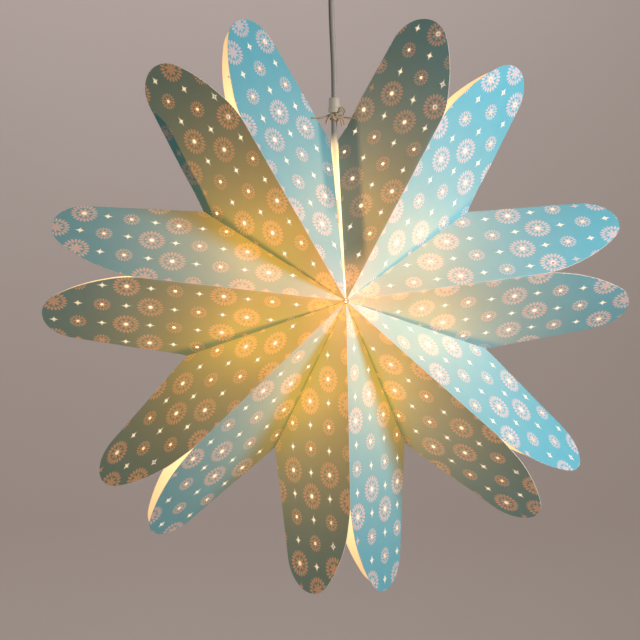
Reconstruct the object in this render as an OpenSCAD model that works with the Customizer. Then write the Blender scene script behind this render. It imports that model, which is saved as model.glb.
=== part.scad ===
// Hanging paper star lantern: folded paper points glued into a ring, round a lampholder and bulb on a cord.
// +Z is up, the printed front faces -Y, and the origin is on the ceiling face of the mounting bar.

/* [Star] */
// Opening of each point over an even share, clockwise from the open seam at the top, degrees
opening_extra = [4.9, 0.7, -4.9, -2.9, -4.1, 3.0, 3.3];
// Distance from the star's centre to the outer end of each valley fold
valley_r = 162.5; // [150:0.5:175]
// Depth of the star's apex in front of its middle plane
half_depth = 97; // [85:1:110]
// Slope of a ridge fold on a point of even share, degrees
ridge_dip = 4.5; // [3.5:0.5:6]
// Width of the open seam at its outer end
seam_gap = 8; // [7.5:0.5:12]
// Turn of the whole star, anticlockwise as seen from the front, degrees
star_turn = 0.8; // [0:0.1:1]

/* [Paper] */
// Thickness of the paper
paper_t = 0.5; // [0.4:0.05:0.8]
// Length of the ridge fold, from the apex to where its two petals part
ridge_len = 203; // [190:1:215]
// Place of the petal tip's centre, measured along the ridge
tip_u = 265; // [250:1:275]
// Radius of the petal tip
tip_r = 35; // [28:1:40]
// Radius of the petal's long open edge
edge_r = 149; // [130:1:170]
// Radius of the hole left round the apex
apex_hole_r = 1.6; // [1.2:0.1:2.5]
// Width of the glue flap along a valley fold
flap_w = 11; // [8:1:13]
// Width of the loose flap on the right of the open seam
seam_flap_w = 18; // [12:1:20]
// Width of the glue flap that closes the side fold
side_flap_w = 11; // [6:1:14]
// Distance from the apex to the start of a valley flap
flap_start = 40; // [30:1:60]
// Distance of the closing flap's edge from the side fold
flap_inset = 2; // [1.5:0.5:3]

/* [Punched holes] */
// Distance between two rows of holes
hole_row = 27; // [24:1:30]
// Distance between two holes of a row
hole_step = 24; // [21:1:28]
// Radius of a large hole
hole_r = 1.65; // [1.4:0.05:2]
// Radius of a small hole
small_hole_r = 1.3; // [1:0.05:1.4]
// Least distance of a hole's centre from the edges of its panel
hole_margin = 6; // [5:0.5:9]

/* [Lampholder] */
// Height of the bulb's centre over the star's centre
bulb_rise = 0; // [-10:1:10]
// Radius of the bulb's globe
globe_r = 22.5; // [20:0.5:25]
// Distance from the globe's centre to the screw base
neck_len = 32; // [30:1:36]
// Radius of the bulb's screw base
base_r = 6.9; // [6.9:0.1:7.2]
// Length of the bulb's screw base
base_len = 18; // [16:1:20]
// Outer radius of the lampholder's shell
shell_r = 14.5; // [13:0.5:18]
// Height of the lampholder's shell
shell_h = 31; // [28:1:36]
// Height of the lampholder's cap
cap_h = 16; // [12:1:22]
// Wall of the lampholder's shell
shell_wall = 1.6; // [1.2:0.1:2.5]

/* [Cord] */
// Diameter of the cord
cord_d = 6; // [5:0.5:6]
// Length of the tapered strain relief at each end of the cord
relief_len = 24; // [20:1:30]
// Radius of the strain relief where it meets its housing
relief_r = 6.5; // [6:0.5:8]
// Length of the cord stopper
stopper_len = 15.5; // [12:0.5:20]
// Height of the stopper's foot over the star's centre
stopper_rise = 190.5; // [188:0.5:195]
// Radius of the stopper's foot
stopper_r = 5.3; // [4.8:0.1:7]

/* [String] */
// Diameter of the string
string_d = 1.6; // [1:0.1:2]
// Distance of a string hole from the valley end, along the side fold
tie_run = 24; // [18:1:32]
// Distance of a string hole from the side fold
tie_inset = 6; // [5:0.5:9]

/* [Ceiling fitting] */
// Drop from the ceiling to the star's centre
star_drop = 375; // [365:1:390]
// Outer radius of the ceiling cup
cup_r = 42; // [38:1:55]
// Height of the ceiling cup
cup_h = 40; // [36:1:44]
// Wall of the ceiling cup
cup_wall = 2; // [1.5:0.5:3]
// Thickness of the mounting bar
bar_t = 1.5; // [1:0.5:2]
// Distance between the two ceiling screw holes
screw_pitch = 50; // [44:1:56]
// Radius of a ceiling screw hole
screw_hole_r = 2.25; // [2:0.25:3]

/* [Hidden] */

// Clearance of a seated piece
fit = 0.1;
// Half the thickness of the glue between two points
glue_line = 0.02;
// Depth by which the closing flap is pressed into the panel it is glued to
flap_bond = 0.1;
// Shift of the hole pattern on the four panels of a point: front left and right, back left and right
hole_shift = [[[0, 0], [17, 12]], [[31, 5], [8, 19]]];
// Side of the star on which the cord hangs, and place of the star's centre
cord_x = 3;
star_x = 5;
// Route of the cord's centre, from the lampholder to the terminal block
cord_route = [[3, 0, -297], [3, 0, -284], [3, 0, -270], [3, 0, -255], [3, 0, -240], [3, 0, -225],
    [3, 0, -210], [3, 0, -195], [3, 0, -180], [3, 0, -165], [2.9, 0, -152], [2.6, 0, -139],
    [2.1, 0, -126], [1.5, 0, -113], [0.9, 0, -100], [0.4, 0, -88], [0.1, 0, -77], [0, 0, -66],
    [0, 0, -53], [0, 0, -40], [0, 0, -27], [0, 0, -14]];
cord_sides = 10;

points = len(opening_extra);
seam_angle = 2 * asin(seam_gap / 2 / valley_r);
share = (360 - seam_angle) / points;
arc_steps = 12;
long = 400;

// Opening of a point, and the clockwise angle of its axis from the seam
function opening(i) = share + opening_extra[i];
function past(i) = i == 0 ? seam_angle / 2 : past(i - 1) + opening(i - 1);
function axis_turn(i) = 90 + star_turn - past(i) - opening(i) / 2;

// Flat pattern of a panel: u runs from the apex along the ridge, v across the paper to the side fold
valley_len = norm([valley_r, half_depth]);
valley_u = valley_r * cos(share / 2) * cos(ridge_dip) + half_depth * sin(ridge_dip);
valley_v = sqrt(pow(valley_len, 2) - pow(valley_u, 2));

// Slope of the ridge once the pattern is folded to a half opening a
function dip(a) = let (run = valley_r * cos(a))
    atan2(half_depth, run) - acos(valley_u / norm([run, half_depth]));
function u_dir(a) = [cos(dip(a)), 0, -sin(dip(a))];
function v_dir(a) = ([valley_r * cos(a), valley_r * sin(a), -half_depth] - valley_u * u_dir(a)) / valley_v;
function side_v(a, u) = (half_depth - u * sin(dip(a))) / -v_dir(a).z;
function side_slope(a) = sin(dip(a)) / v_dir(a).z;
function folded(a, u, v) = [0, 0, half_depth] + u * u_dir(a) + v * v_dir(a);

// Petal outline: the open edge is one long arc, tangent to the tip's arc, tangent to the side fold
function arc(c, r, from, to) = [for (k = [0:arc_steps]) let (t = from + (to - from) * k / arc_steps)
    c + r * [cos(t), sin(t)]];
function tip_centre(a) = [tip_u, side_v(a, tip_u) - tip_r * norm([1, side_slope(a)])];
function edge_centre(a) = let (d = tip_centre(a) - [ridge_len, 0], l = norm(d), r2 = edge_r - tip_r,
    along = (pow(edge_r, 2) - pow(r2, 2) + l * l) / (2 * l), up = sqrt(pow(edge_r, 2) - along * along))
    [ridge_len, 0] + (along * d + up * [-d.y, d.x]) / l;
function bearing(p) = atan2(p.y, p.x);
function petal(a) = let (tip = tip_centre(a), edge = edge_centre(a), turn = bearing(tip - edge),
    out = 3 * [-valley_v, valley_u] / valley_len)
    concat([[0, 0]], arc(edge, edge_r, bearing([ridge_len, 0] - edge), turn),
    arc(tip, tip_r, turn, bearing([-side_slope(a), 1])), [[valley_u, valley_v] + out, out]);

// A sheet of paper cut to a flat pattern, laid in the plane of a panel, with its face at depth w
module sheet(a, w) {
    u = u_dir(a);
    v = v_dir(a);
    n = cross(u, v);
    multmatrix([[u.x, v.x, n.x, 0], [u.y, v.y, n.y, 0], [u.z, v.z, n.z, half_depth], [0, 0, 0, 1]])
        translate([0, 0, -w - paper_t]) linear_extrude(paper_t) children();
}

// Space of one panel: from the point's middle to the valley plane, in front of the star's middle plane
module panel_space(a) {
    linear_extrude(half_depth)
        polygon([[glue_line / sin(a), 0], [long, 0], [long, long * tan(a) - glue_line / cos(a)]]);
}

// Glue flap in the valley plane, along the fold from near the apex to the valley end
module valley_flap(a, width) {
    end = valley_len - 2;
    slope = half_depth / valley_len;
    tuck = end - (width * valley_r / valley_len) / slope;
    fold = atan2(half_depth, valley_r);
    rotate([0, 0, a]) rotate([90, 0, 0]) translate([0, half_depth, glue_line]) rotate([0, 0, -fold])
        linear_extrude(paper_t)
            polygon([[flap_start, 0], [end, 0], [tuck, -width], [2 * flap_start, -width]]);
}

// Glue flap inside a panel, along the side fold
module side_flap(a) {
    start = valley_u + side_flap_w;
    end = tip_u - 2 * side_flap_w;
    sheet(a, paper_t - flap_bond) polygon([[start, side_v(a, start) - flap_inset],
        [tip_u, side_v(a, tip_u) - flap_inset], [end, side_v(a, end) - side_flap_w],
        [start, side_v(a, start) - side_flap_w]]);
}

// Distances of a place on the pattern from the valley fold and from the side fold, and whether a hole fits
function to_valley(p) = (p.x * valley_v - p.y * valley_u) / valley_len;
function to_side(a, p) = (side_v(a, p.x) - p.y) / norm([1, side_slope(a)]);
function punchable(a, p, margin) = p.y > hole_margin && to_valley(p) > hole_margin && to_side(a, p) > margin
    && (p.x < ridge_len || norm(p - edge_centre(a)) < edge_r - hole_margin)
    && (p.x < tip_u || norm(p - tip_centre(a)) < tip_r - hole_margin);

// Punched holes of a panel: every second one is large, and the rows are staggered
module punched(a, shift, closed) {
    margin = closed ? side_flap_w + 2 * hole_r : hole_margin;
    rows = ceil((valley_v + shift.y) / hole_row);
    steps = ceil((tip_u + tip_r + shift.x) / hole_step) + 1;
    for (row = [0:rows]) for (k = [0:steps]) {
        p = [(k - row % 2) * hole_step, (row + 0.5) * hole_row] - shift;
        if (punchable(a, p, margin)) translate(p) circle(r = k % 2 == 1 ? hole_r : small_hole_r, $fn = 24);
    }
}

module panel(a, width, shift, closed) {
    intersection() {
        panel_space(a);
        union() {
            sheet(a, 0) difference() {
                polygon(petal(a));
                punched(a, shift, closed);
            }
            if (closed) side_flap(a);
        }
    }
    valley_flap(a, width);
}

// One folded point: four panels, mirrored about its middle and about the star's middle plane
module folded_point(i) {
    a = opening(i) / 2;
    left_flap = i == 0 ? seam_flap_w : flap_w;
    closed_half = i == points - 1 ? 0 : 1;
    for (back = [0, 1]) mirror([0, 0, back]) {
        panel(a, left_flap, hole_shift[back][0], back == closed_half);
        mirror([0, 1, 0]) panel(a, flap_w, hole_shift[back][1], false);
    }
}

// Hole for the string in the petal beside the seam, through its front and its back
function tie_u() = valley_u + tie_run;
function tie_spot(i) = let (a = opening(i) / 2) folded(a, tie_u(), side_v(a, tie_u()) - tie_inset);
module tie_hole(i, side) {
    spot = tie_spot(i);
    translate([spot.x, side * spot.y, 0])
        cylinder(h = half_depth, r = string_d * 0.75, center = true, $fn = 24);
}

module at_star() {
    translate([star_x, 0, -star_drop]) rotate([90, 0, 0]) children();
}

module paper_point(i) {
    color([0.42, 0.66, 0.68]) at_star() rotate([0, 0, axis_turn(i)]) difference() {
        folded_point(i);
        cylinder(h = 3 * half_depth, r = apex_hole_r, center = true, $fn = 24);
        if (i == 0) tie_hole(i, 1);
        if (i == points - 1) tie_hole(i, -1);
    }
}

module paper_point_1() { paper_point(0); }
module paper_point_2() { paper_point(1); }
module paper_point_3() { paper_point(2); }
module paper_point_4() { paper_point(3); }
module paper_point_5() { paper_point(4); }
module paper_point_6() { paper_point(5); }
module paper_point_7() { paper_point(6); }

// Heights over the star's centre, from the bulb up
base_z = bulb_rise + neck_len;
base_top = base_z + base_len;
contact_h = 2;
tip_h = 2.5;
socket_top = base_top + tip_h + contact_h;
shell_top = base_z - 1 + shell_h;
cap_top = shell_top + cap_h;
socket_r = base_r + 0.4;
socket_wall = 0.5;

module on_cord(z) {
    translate([cord_x, 0, -star_drop + z]) children();
}

// Globe and neck of opal glass, joined by a hollow curve
module bulb_globe() {
    neck_r = base_r - 1;
    hollow_r = 10;
    centre = [neck_r + hollow_r, sqrt(pow(globe_r + hollow_r, 2) - pow(neck_r + hollow_r, 2))];
    color([1, 0.96, 0.86]) on_cord(bulb_rise) rotate_extrude($fn = 72) polygon(concat(
        arc([0, 0], globe_r, -90, bearing(centre)), arc(centre, hollow_r, 180 + bearing(centre), 180),
        [[neck_r, neck_len], [0, neck_len]]));
}

// Screw base, its thread drawn as grooved rings
module bulb_base() {
    pitch = base_len / 6;
    groove = 0.5;
    color("gainsboro") on_cord(base_z) rotate_extrude($fn = 64) polygon(concat([[0, 0], [base_r, 0]],
        [for (k = [1:4]) for (p = [[base_r, -0.3], [base_r - groove, 0.2]]) [p.x, (k + p.y) * pitch]],
        [[base_r, base_len - pitch], [base_r - 2, base_len], [0, base_len]]));
}

module bulb_tip() {
    color("silver") on_cord(base_top) cylinder(h = tip_h, r1 = base_r - 3, r2 = 2, $fn = 48);
}

// Threaded brass liner that takes the bulb's base
module holder_socket() {
    color("goldenrod") on_cord(base_z + 2) difference() {
        cylinder(h = base_len, r = socket_r + socket_wall, $fn = 64);
        translate([0, 0, -1]) cylinder(h = base_len + 2, r = socket_r, $fn = 64);
    }
}

// Spring contact that presses on the bulb's tip
module holder_contact() {
    color("goldenrod") on_cord(base_top + tip_h) {
        translate([-1.5, -1.5, 0]) cube([3, 3, contact_h]);
        translate([-4, -1.5, contact_h - 0.6]) cube([8, 3, 0.6]);
    }
}

// Skirt with a solid insulating core round the liner
module holder_shell() {
    bottom = base_z - 1;
    edge = 0.8;
    skirt_h = 3;
    contact_room = 5.5;
    color("whitesmoke") on_cord(bottom) difference() {
        rotate_extrude($fn = 96) polygon([[0, 0], [shell_r - edge, 0], [shell_r, edge],
            [shell_r, shell_h - edge], [shell_r - edge, shell_h], [0, shell_h]]);
        translate([0, 0, -1]) cylinder(h = skirt_h + 1, r = shell_r - shell_wall, $fn = 96);
        translate([0, 0, -1])
            cylinder(h = base_len + skirt_h + 1, r = socket_r + socket_wall + fit, $fn = 64);
        translate([0, 0, -1]) cylinder(h = socket_top - bottom + 1, r = contact_room, $fn = 64);
    }
}

// Domed cap screwed on the shell
module holder_cap() {
    band = 3;
    flat_r = relief_r + 1;
    color("whitesmoke") on_cord(shell_top) rotate_extrude($fn = 96) polygon(concat([[0, 0], [shell_r, 0]],
        [for (p = arc([0, 0], 1, 0, 90)) [flat_r + (shell_r - flat_r) * p.x, band + (cap_h - band) * p.y]],
        [[0, cap_h]]));
}

// Tapered sleeve round the cord, ribbed so that it bends
module relief(length) {
    rib = length / 6;
    difference() {
        union() {
            cylinder(h = length, r1 = relief_r - 0.8, r2 = cord_d / 2 + 0.8, $fn = 64);
            cylinder(h = 3, r = relief_r, $fn = 64);
            for (k = [1:4]) translate([0, 0, k * rib])
                cylinder(h = rib / 2, r = relief_r - k * (relief_r - cord_d / 2 - 1) / 5, $fn = 64);
        }
        translate([0, 0, -1]) cylinder(h = length + 2, r = cord_d / 2 + fit, $fn = 64);
    }
}

module holder_relief() {
    color("gainsboro") on_cord(cap_top) relief(relief_len);
}

// Cord: rings of equal size across the route, with the ends cut square
function along(k) = k == 0 ? cord_route[1] - cord_route[0] : k == len(cord_route) - 1
    ? cord_route[k] - cord_route[k - 1] : cord_route[k + 1] - cord_route[k - 1];
function unit(p) = p / norm(p);
function route_ring(c, d, side, r, sides) = let (w = unit(d), e = unit(cross(side, w)), f = cross(w, e))
    [for (s = [0:sides - 1]) let (t = 360 * s / sides) c + r * (cos(t) * e + sin(t) * f)];
module tube(rings, sides) {
    n = len(rings);
    polyhedron(points = [for (ring = rings) for (p = ring) p], faces = concat(
        [[for (s = [0:sides - 1]) s]],
        [for (k = [0:n - 2]) for (s = [0:sides - 1]) let (q = (s + 1) % sides)
            [k * sides + s, (k + 1) * sides + s, (k + 1) * sides + q, k * sides + q]],
        [[for (s = [sides - 1:-1:0]) (n - 1) * sides + s]]));
}
module lamp_cord() {
    color("lightgray") tube([for (k = [0:len(cord_route) - 1])
        route_ring(cord_route[k], along(k), [0, 1, 0], cord_d / 2, cord_sides)], cord_sides);
}

// Tapered plastic stop that grips the cord over the knot
module cord_stopper() {
    color("wheat") on_cord(stopper_rise) difference() {
        rotate_extrude($fn = 64) polygon([[0, 0], [stopper_r - 0.5, 0], [stopper_r, 0.5], [stopper_r, 4],
            [stopper_r - 0.7, stopper_len - 1], [stopper_r - 1.4, stopper_len], [0, stopper_len]]);
        translate([0, 0, -1]) cylinder(h = stopper_len + 2, r = cord_d / 2 + fit, $fn = 64);
    }
}

// String that ties the two end points together, round the cord and through their holes
tie_z = stopper_rise - string_d;
function to_star(i, side, p) = let (t = axis_turn(i), q = [p.x * cos(t) - side * p.y * sin(t),
    p.x * sin(t) + side * p.y * cos(t)]) [star_x + q.x, -p.z, -star_drop + q.y];
function tie_route(i, side) = let (p = tie_spot(i), front = to_star(i, side, p + [0, 0, string_d]),
    back = [front.x, -front.y, front.z], turn = string_d * (side > 0 ? -1 : 1),
    knot = [cord_x, 0, -star_drop + tie_z], reach = (cord_d + string_d) / 2 + fit)
    [knot + [0, -reach, 0], knot + [-2 * turn, -reach, 0], 0.5 * (knot + front) + [0, -1, -1],
    front + [turn, 0, 0], front + [0, string_d / 2, 0], back + [0, -string_d / 2, 0], back + [turn, 0, 0],
    0.5 * (knot + back) + [0, 1, -1], knot + [-2 * turn, reach, 0], knot + [0, reach, 0]];
module string(route) {
    last = len(route) - 1;
    tube([for (k = [0:last]) route_ring(route[k], route[min(k + 1, last)] - route[max(k - 1, 0)],
        [0, 0, 1], string_d / 2, 8)], 8);
}
module top_tie() {
    turn_r = (cord_d + string_d) / 2 + fit;
    color("tan") {
        on_cord(tie_z) for (k = [0, 1]) translate([0, 0, -k * string_d * 0.9])
            rotate_extrude($fn = 20) translate([turn_r, 0]) circle(r = string_d / 2, $fn = 6);
        on_cord(tie_z) translate([0, -turn_r - string_d / 2, -string_d / 2])
            sphere(r = string_d * 1.2, $fn = 12);
        string(tie_route(0, 1));
        string(tie_route(points - 1, -1));
        on_cord(tie_z) translate([0, -turn_r, 0]) {
            string([[0, -1, 0], [-3, -1.5, -1], [-7, -1, -3], [-10, 0, -8]]);
            string([[0, -1, 0], [2, -1.5, -2], [5, -1, -5], [6, 0, -11]]);
        }
    }
}

// Loop of string through the hole at the apex, with a turn outside and a turn inside
module apex_string() {
    turn_r = 2.2;
    inner = 2 * turn_r;
    r = string_d / 2;
    for (z = [half_depth + r + fit, half_depth - inner]) translate([0, 0, z]) {
        rotate_extrude($fn = 32) translate([turn_r, 0]) circle(r = r, $fn = 16);
        rotate([0, 90, 0]) cylinder(h = 2 * turn_r, r = r * 0.8, center = true, $fn = 16);
    }
    translate([0, 0, half_depth - inner]) cylinder(h = inner + r, r = r * 0.9, $fn = 16);
}
module front_string() {
    color("linen") at_star() apex_string();
}
module back_string() {
    color("linen") at_star() mirror([0, 0, 1]) apex_string();
}

// Ceiling fitting: cup, mounting bar, cable gland and terminal block
stem_r = 5;
nut_h = 4;
bar_w = 18;
ear_h = 12;
terminal_w = 20;
terminal_d = 12;
cup_screw_r = 1.4;
cup_screw_z = -ear_h * 0.6;
cup_inner_r = cup_r - cup_wall;
bar_half = sqrt(pow(cup_inner_r, 2) - pow(bar_w / 2, 2)) - 0.3;

module ceiling_cup() {
    round_r = 14;
    color("whitesmoke") difference() {
        rotate_extrude($fn = 128) polygon(concat([[cup_inner_r, 0], [cup_r, 0]],
            arc([cup_r - round_r, round_r - cup_h], round_r, 0, -90), [[stem_r + fit, -cup_h],
            [stem_r + fit, cup_wall - cup_h]],
            arc([cup_r - round_r, round_r - cup_h], round_r - cup_wall, -90, 0)));
        for (side = [-1, 1]) translate([side * cup_r, 0, cup_screw_z]) rotate([0, 90, 0])
            cylinder(h = 4 * cup_wall, r = cup_screw_r + 2 * fit, center = true, $fn = 32);
    }
}

module cup_relief() {
    stem = cup_wall + nut_h + 1;
    color("gainsboro") translate([0, 0, -cup_h]) {
        mirror([0, 0, 1]) relief(relief_len);
        difference() {
            cylinder(h = stem, r = stem_r, $fn = 64);
            translate([0, 0, -1]) cylinder(h = stem + 2, r = cord_d / 2 + fit, $fn = 64);
        }
    }
}

module relief_nut() {
    color("gainsboro") translate([0, 0, cup_wall - cup_h]) difference() {
        cylinder(h = nut_h, r = stem_r * 1.65, $fn = 6);
        translate([0, 0, -1]) cylinder(h = nut_h + 2, r = stem_r + fit, $fn = 64);
    }
}

module mounting_bar() {
    color("silver") difference() {
        union() {
            translate([-bar_half, -bar_w / 2, -bar_t]) cube([2 * bar_half, bar_w, bar_t]);
            for (side = [0, 1]) mirror([side, 0, 0]) translate([bar_half - bar_t, -bar_w / 2, -ear_h])
                cube([bar_t, bar_w, ear_h]);
        }
        for (side = [-1, 1]) {
            translate([side * screw_pitch / 2, 0, -bar_t - 1])
                cylinder(h = bar_t + 2, r = screw_hole_r, $fn = 48);
            translate([side * bar_half, 0, cup_screw_z]) rotate([0, 90, 0])
                cylinder(h = 4 * bar_t, r = cup_screw_r + fit, center = true, $fn = 32);
        }
    }
}

module cup_screws() {
    head = 2;
    shank = cup_r - bar_half + 2 * bar_t;
    color("silver") for (side = [0, 1])
        mirror([side, 0, 0]) translate([cup_r, 0, cup_screw_z]) rotate([0, 90, 0]) {
            translate([0, 0, -shank]) cylinder(h = shank + head, r = cup_screw_r, $fn = 32);
            cylinder(h = head, r = 2 * cup_screw_r, $fn = 32);
        }
}

// Block of two terminals between the bar and the cord's end, with its screw wells at the front
module terminal_block() {
    h = -cord_route[len(cord_route) - 1].z - bar_t;
    well_r = 1.8;
    well_depth = 3;
    color("white") translate([0, 0, -bar_t - h / 2]) difference() {
        cube([terminal_w, terminal_d, h], center = true);
        for (side = [-1, 1]) translate([side * terminal_w / 4, -terminal_d / 2, 0]) rotate([90, 0, 0])
            cylinder(h = 2 * well_depth, r = well_r, center = true, $fn = 24);
    }
}

paper_point_1();
paper_point_2();
paper_point_3();
paper_point_4();
paper_point_5();
paper_point_6();
paper_point_7();
bulb_globe();
bulb_base();
bulb_tip();
holder_socket();
holder_contact();
holder_shell();
holder_cap();
holder_relief();
lamp_cord();
cord_stopper();
top_tie();
front_string();
back_string();
ceiling_cup();
cup_relief();
relief_nut();
terminal_block();
mounting_bar();
cup_screws();
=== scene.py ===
import math

import bpy
import numpy as np
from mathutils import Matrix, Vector
from mathutils.geometry import delaunay_2d_cdt


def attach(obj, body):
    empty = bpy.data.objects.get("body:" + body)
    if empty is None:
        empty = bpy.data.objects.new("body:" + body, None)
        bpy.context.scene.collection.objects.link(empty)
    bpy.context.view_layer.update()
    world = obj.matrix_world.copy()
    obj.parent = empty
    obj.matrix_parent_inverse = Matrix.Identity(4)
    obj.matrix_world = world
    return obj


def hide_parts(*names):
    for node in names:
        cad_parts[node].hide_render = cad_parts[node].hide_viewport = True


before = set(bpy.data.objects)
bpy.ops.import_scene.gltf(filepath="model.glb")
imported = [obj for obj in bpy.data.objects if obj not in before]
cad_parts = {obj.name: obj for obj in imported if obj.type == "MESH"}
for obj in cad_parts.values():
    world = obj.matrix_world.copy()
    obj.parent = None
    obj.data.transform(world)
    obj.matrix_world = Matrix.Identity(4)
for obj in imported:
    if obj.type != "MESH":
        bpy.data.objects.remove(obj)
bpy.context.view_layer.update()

MM = 0.001

# Sizes in millimetres, as in the part's source. OPENING_EXTRA is in degrees, one value for each point.
OPENING_EXTRA = (4.9, 0.7, -4.9, -2.9, -4.1, 3.0, 3.3)
VALLEY_R = 162.5
HALF_DEPTH = 97
RIDGE_DIP = math.radians(4.5)
SEAM_GAP = 8
STAR_TURN = math.radians(0.8)
PAPER_T = 0.5
RIDGE_LEN = 203
TIP_U = 265
TIP_R = 35
EDGE_R = 149
APEX_HOLE_R = 1.6
FLAP_W = 11
SEAM_FLAP_W = 18
SIDE_FLAP_W = 11
FLAP_INSET = 2
FLAP_START = 40
ROW, COLUMN = 27.0, 48.0
HOLE_R = 1.65
SMALL_HOLE_R = 1.3
HOLE_MARGIN = 6
STAR_X = 5
STAR_DROP = 375
CORD_X = 3
CORD_D = 6
STRING_D = 1.6
TIE_INSET = 6
TIE_RISE = 190.5 - STRING_D
GLUE_LINE = 0.02
POINTS = len(OPENING_EXTRA)

# Sizes of the drawn paper alone, in millimetres: how far each point's two petals lean sideways at the tip,
# the width of the soft crease they lean from, the bow of a panel and how flat the ridges are worn
PETAL_LEAN = ((15, 11), (2, 3), (-5, -9), (-3, -6), (-4, -6), (6, 3), (8, 11))
SOFT_CREASE = 40
PANEL_BOW = 1.6
RIDGE_WEAR, INNER_WEAR = 0.35, 0.3
# Where the string goes through the paper, along the side fold from the valley end
TIE_RUN = 29
# Spacing of the mesh inside a panel, and sides of a punched hole
MESH_STEP = 8.5
HOLE_SIDES = 12
# Shift of the print on each panel, by side and front
PRINT_SHIFT = {(1, 1): (0, 0), (-1, 1): (17, 12), (1, -1): (31, 5), (-1, -1): (8, 19)}
# How much of the bulb's light reaches the two sides of each point; the cord and holder shade the seam
GLOW_SHARE = ((0.74, 0.96), (1.0, 1.1), (0.97, 1.02), (0.94, 1.0), (0.91, 1.02), (1.03, 1.0), (0.93, 0.66))
# How far from the valley the paper at the seam is darkened, and from where along the valley: the glued flap
# there hides the glow, and shade is painted into the paper's colour over that band
SEAM_SHADE = {0: (25, 42), POINTS - 1: (15, 105)}
# Reach of a flap, and of its painted shade, that darkens nothing
NO_FLAP = -5
# Values of the points of a flap, which lie far from every fold that printed_paper shades
FLAP_VALUES = (50, 50, 50, 50, -1, NO_FLAP, 0, NO_FLAP, 1, 0)

# Twisted string: its strands, the length of a turn in metres and the sides of its section
STRANDS = 3
STRAND_PITCH = 0.0035
STRING_SIDES = 12
# Loops of the small knots in front and behind
KNOT_R = 2.2

# Route of the cord in metres, from the lampholder up to the terminal block
CORD_ROUTE = [(0.003, 0, -0.297), (0.003, 0, -0.284), (0.003, 0, -0.270), (0.003, 0, -0.255),
    (0.003, 0, -0.240), (0.003, 0, -0.225), (0.003, 0, -0.210), (0.003, 0, -0.195), (0.003, 0, -0.180),
    (0.003, 0, -0.165),
    (0.0029, 0, -0.152), (0.0026, 0, -0.139), (0.0021, 0, -0.126), (0.0015, 0, -0.113), (0.0009, 0, -0.100),
    (0.0004, 0, -0.088), (0.0001, 0, -0.077), (0, 0, -0.066), (0, 0, -0.053), (0, 0, -0.040), (0, 0, -0.027),
    (0, 0, -0.014)]


# Camera at the photograph's angle: a little to the left of the star's front axis and a little above
centre = Vector((STAR_X * MM, 0, -STAR_DROP * MM))
azimuth, elevation, distance = math.radians(5.74), math.radians(0.9), 2.35
back = Vector((-math.sin(azimuth) * math.cos(elevation), -math.cos(azimuth) * math.cos(elevation),
    math.sin(elevation)))
camera = bpy.data.objects.new("camera", bpy.data.cameras.new("camera"))
bpy.context.scene.collection.objects.link(camera)
camera.location = centre + distance * back
camera.rotation_euler = (-back).to_track_quat("-Z", "Y").to_euler()
camera.data.sensor_width = 36
camera.data.lens = 129.4
camera.data.shift_x = -0.0253
camera.data.shift_y = -0.0322
camera.data.clip_start = 0.05
bpy.context.scene.camera = camera
bpy.context.scene.view_settings.view_transform = "Standard"


# Materials
class Nodes:
    """A material's node tree, with arithmetic on its sockets."""

    def __init__(self, name, rough=0.5, metallic=0.0):
        self.material = bpy.data.materials.new(name)
        self.material.use_nodes = True
        self.tree = self.material.node_tree
        self.surface = self.tree.nodes["Principled BSDF"]
        self.set(self.surface, "Roughness", rough)
        self.set(self.surface, "Metallic", metallic)

    def set(self, node, name, value):
        if isinstance(value, bpy.types.NodeSocket):
            self.tree.links.new(value, node.inputs[name])
        else:
            node.inputs[name].default_value = value

    def node(self, kind, **values):
        made = self.tree.nodes.new(kind)
        for name, value in values.items():
            self.set(made, name.replace("_", " "), value)
        return made

    def math(self, kind, *terms):
        made = self.tree.nodes.new("ShaderNodeMath")
        made.operation = kind
        for index, term in enumerate(terms):
            self.set(made, index, term)
        return made.outputs[0]

    def add(self, *terms):
        total = terms[0]
        for term in terms[1:]:
            total = self.math("ADD", total, term)
        return total

    def mul(self, *terms):
        total = terms[0]
        for term in terms[1:]:
            total = self.math("MULTIPLY", total, term)
        return total

    def sub(self, a, b):
        return self.math("SUBTRACT", a, b)

    def below(self, value, edge, soft):
        """1 where value is well under edge, 0 where it is over."""
        made = self.tree.nodes.new("ShaderNodeMapRange")
        made.interpolation_type = "SMOOTHSTEP"
        self.set(made, "Value", value)
        self.set(made, "From Min", self.sub(edge, soft))
        self.set(made, "From Max", self.add(edge, soft))
        made.inputs["To Min"].default_value = 1
        made.inputs["To Max"].default_value = 0
        return made.outputs[0]

    def mix(self, factor, a, b):
        made = self.tree.nodes.new("ShaderNodeMix")
        made.data_type = "RGBA"
        for index, value in ((0, factor), (6, a), (7, b)):
            if isinstance(value, bpy.types.NodeSocket):
                self.tree.links.new(value, made.inputs[index])
            else:
                made.inputs[index].default_value = value
        return made.outputs[2]

    def attribute(self, name):
        made = self.tree.nodes.new("ShaderNodeAttribute")
        made.attribute_name = name
        return made.outputs["Fac"]

    def place(self):
        """Place on the object in metres."""
        return self.tree.nodes.new("ShaderNodeTexCoord").outputs["Object"]

    def noise(self, scale, detail=2.0, where=None):
        made = self.node("ShaderNodeTexNoise", Scale=scale, Detail=detail)
        self.tree.links.new(where or self.place(), made.inputs["Vector"])
        return made.outputs[0]

    def bump(self, height, distance, strength=1.0):
        made = self.node("ShaderNodeBump", Height=height, Distance=distance, Strength=strength)
        self.set(self.surface, "Normal", made.outputs[0])

    def from_bulb(self):
        """Distance from the bulb's centre in millimetres."""
        made = self.tree.nodes.new("ShaderNodeVectorMath")
        made.operation = "DISTANCE"
        self.tree.links.new(self.place(), made.inputs[0])
        made.inputs[1].default_value = (CORD_X * MM, 0, -STAR_DROP * MM)
        return self.mul(made.outputs["Value"], 1000.0)


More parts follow.
